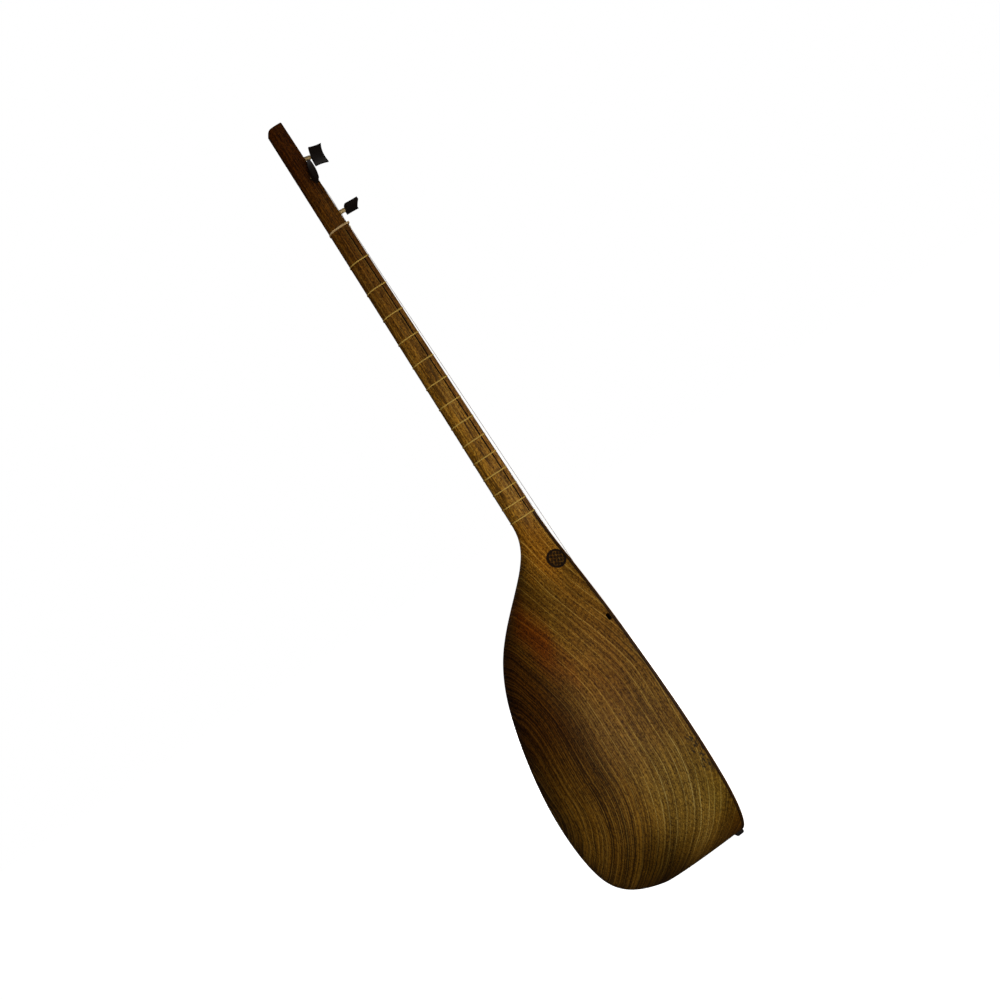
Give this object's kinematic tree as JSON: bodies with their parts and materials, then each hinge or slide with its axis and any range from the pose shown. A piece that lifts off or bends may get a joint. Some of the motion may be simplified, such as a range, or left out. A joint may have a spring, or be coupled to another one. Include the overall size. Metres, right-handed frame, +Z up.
{
  "type": "long-necked lute",
  "caption": "Three-string long-necked lute with a deep carved pear bowl, flat soundboard, tied gut frets and friction pegs in a straight headstock.",
  "frame": {"origin": "middle of the bowl's butt end, where a floor stand carries it", "axes": "+Z up the neck to the headstock, -Y the way the soundboard faces, -X the bass side"},
  "size_m": [0.159, 0.1868, 0.9052],
  "materials": {
    "bowl_walnut": "oiled walnut, satin",
    "neck_walnut": "oiled walnut, satin",
    "fingerboard_wood": "oiled walnut",
    "black_veneer": "black dyed veneer",
    "soundboard_mulberry": "thin oil, satin",
    "bone": "polished bone",
    "gut": "dried gut, slightly glossy",
    "black_horn": "polished horn",
    "black_peg_wood": "ebony, satin",
    "bridge_wood": "hard wood, bare",
    "brass_wire": "dull brass",
    "steel_string": "drawn wire",
    "bronze_string": "bronze wire"
  },
  "bodies": {
    "instrument": {"bowl": "bowl_walnut", "neck": "neck_walnut", "fingerboard": "fingerboard_wood", "fingerboard_seam": "black_veneer", "soundboard": "soundboard_mulberry", "rim_seam": "black_veneer", "nut": "bone", "nut_tie": "gut", "string_holder": "black_horn", "hitch_pins": "brass_wire", "treble_string_outer": "steel_string", "treble_string_inner": "steel_string", "bass_string": "bronze_string"},
    "upper_peg": {"upper_peg": "black_peg_wood", "upper_peg_winding": "bronze_string"},
    "lower_peg": {"lower_peg": "black_peg_wood", "lower_peg_winding": "bronze_string"},
    "side_peg": {"side_peg": "black_peg_wood", "side_peg_winding": "bronze_string"},
    "fret_01": {"fret_01": "gut"},
    "fret_02": {"fret_02": "gut"},
    "fret_03": {"fret_03": "gut"},
    "fret_04": {"fret_04": "gut"},
    "fret_05": {"fret_05": "gut"},
    "fret_06": {"fret_06": "gut"},
    "fret_07": {"fret_07": "gut"},
    "fret_08": {"fret_08": "gut"},
    "fret_09": {"fret_09": "gut"},
    "fret_10": {"fret_10": "gut"},
    "fret_11": {"fret_11": "gut"},
    "fret_12": {"fret_12": "gut"},
    "fret_13": {"fret_13": "gut"},
    "fret_14": {"fret_14": "gut"},
    "bridge": {"bridge": "bridge_wood"}
  },
  "joints": [
    {"name": "upper_peg_turn", "type": "hinge", "parent": "instrument", "child": "upper_peg", "pos_m": [0, -0.046, 0.8574], "axis": [0, -0.9848, -0.1736], "continuous": true},
    {"name": "lower_peg_turn", "type": "hinge", "parent": "instrument", "child": "lower_peg", "pos_m": [0, -0.046, 0.7884], "axis": [0, -1, 0], "continuous": true},
    {"name": "side_peg_turn", "type": "hinge", "parent": "instrument", "child": "side_peg", "pos_m": [-0.0127, -0.041, 0.8315], "axis": [-1, 0, 0], "continuous": true},
    {"name": "fret_01_slide", "type": "slide", "parent": "instrument", "child": "fret_01", "axis": [0, 0, 1], "range_m": [-0.003, 0.003]},
    {"name": "fret_02_slide", "type": "slide", "parent": "instrument", "child": "fret_02", "axis": [0, 0, 1], "range_m": [-0.003, 0.003]},
    {"name": "fret_03_slide", "type": "slide", "parent": "instrument", "child": "fret_03", "axis": [0, 0, 1], "range_m": [-0.003, 0.003]},
    {"name": "fret_04_slide", "type": "slide", "parent": "instrument", "child": "fret_04", "axis": [0, 0, 1], "range_m": [-0.003, 0.003]},
    {"name": "fret_05_slide", "type": "slide", "parent": "instrument", "child": "fret_05", "axis": [0, 0, 1], "range_m": [-0.003, 0.003]},
    {"name": "fret_06_slide", "type": "slide", "parent": "instrument", "child": "fret_06", "axis": [0, 0, 1], "range_m": [-0.003, 0.003]},
    {"name": "fret_07_slide", "type": "slide", "parent": "instrument", "child": "fret_07", "axis": [0, 0, 1], "range_m": [-0.003, 0.003]},
    {"name": "fret_08_slide", "type": "slide", "parent": "instrument", "child": "fret_08", "axis": [0, 0, 1], "range_m": [-0.003, 0.003]},
    {"name": "fret_09_slide", "type": "slide", "parent": "instrument", "child": "fret_09", "axis": [0, 0, 1], "range_m": [-0.003, 0.003]},
    {"name": "fret_10_slide", "type": "slide", "parent": "instrument", "child": "fret_10", "axis": [0, 0, 1], "range_m": [-0.003, 0.003]},
    {"name": "fret_11_slide", "type": "slide", "parent": "instrument", "child": "fret_11", "axis": [0, 0, 1], "range_m": [-0.003, 0.003]},
    {"name": "fret_12_slide", "type": "slide", "parent": "instrument", "child": "fret_12", "axis": [0, 0, 1], "range_m": [-0.003, 0.003]},
    {"name": "fret_13_slide", "type": "slide", "parent": "instrument", "child": "fret_13", "axis": [0, 0, 1], "range_m": [-0.003, 0.003]},
    {"name": "fret_14_slide", "type": "slide", "parent": "instrument", "child": "fret_14", "axis": [0, 0, 1], "range_m": [-0.0015, 0.003]},
    {"name": "bridge_slide", "type": "slide", "parent": "instrument", "child": "bridge", "axis": [0, 0, 1], "range_m": [-0.0025, 0.004]}
  ]
}
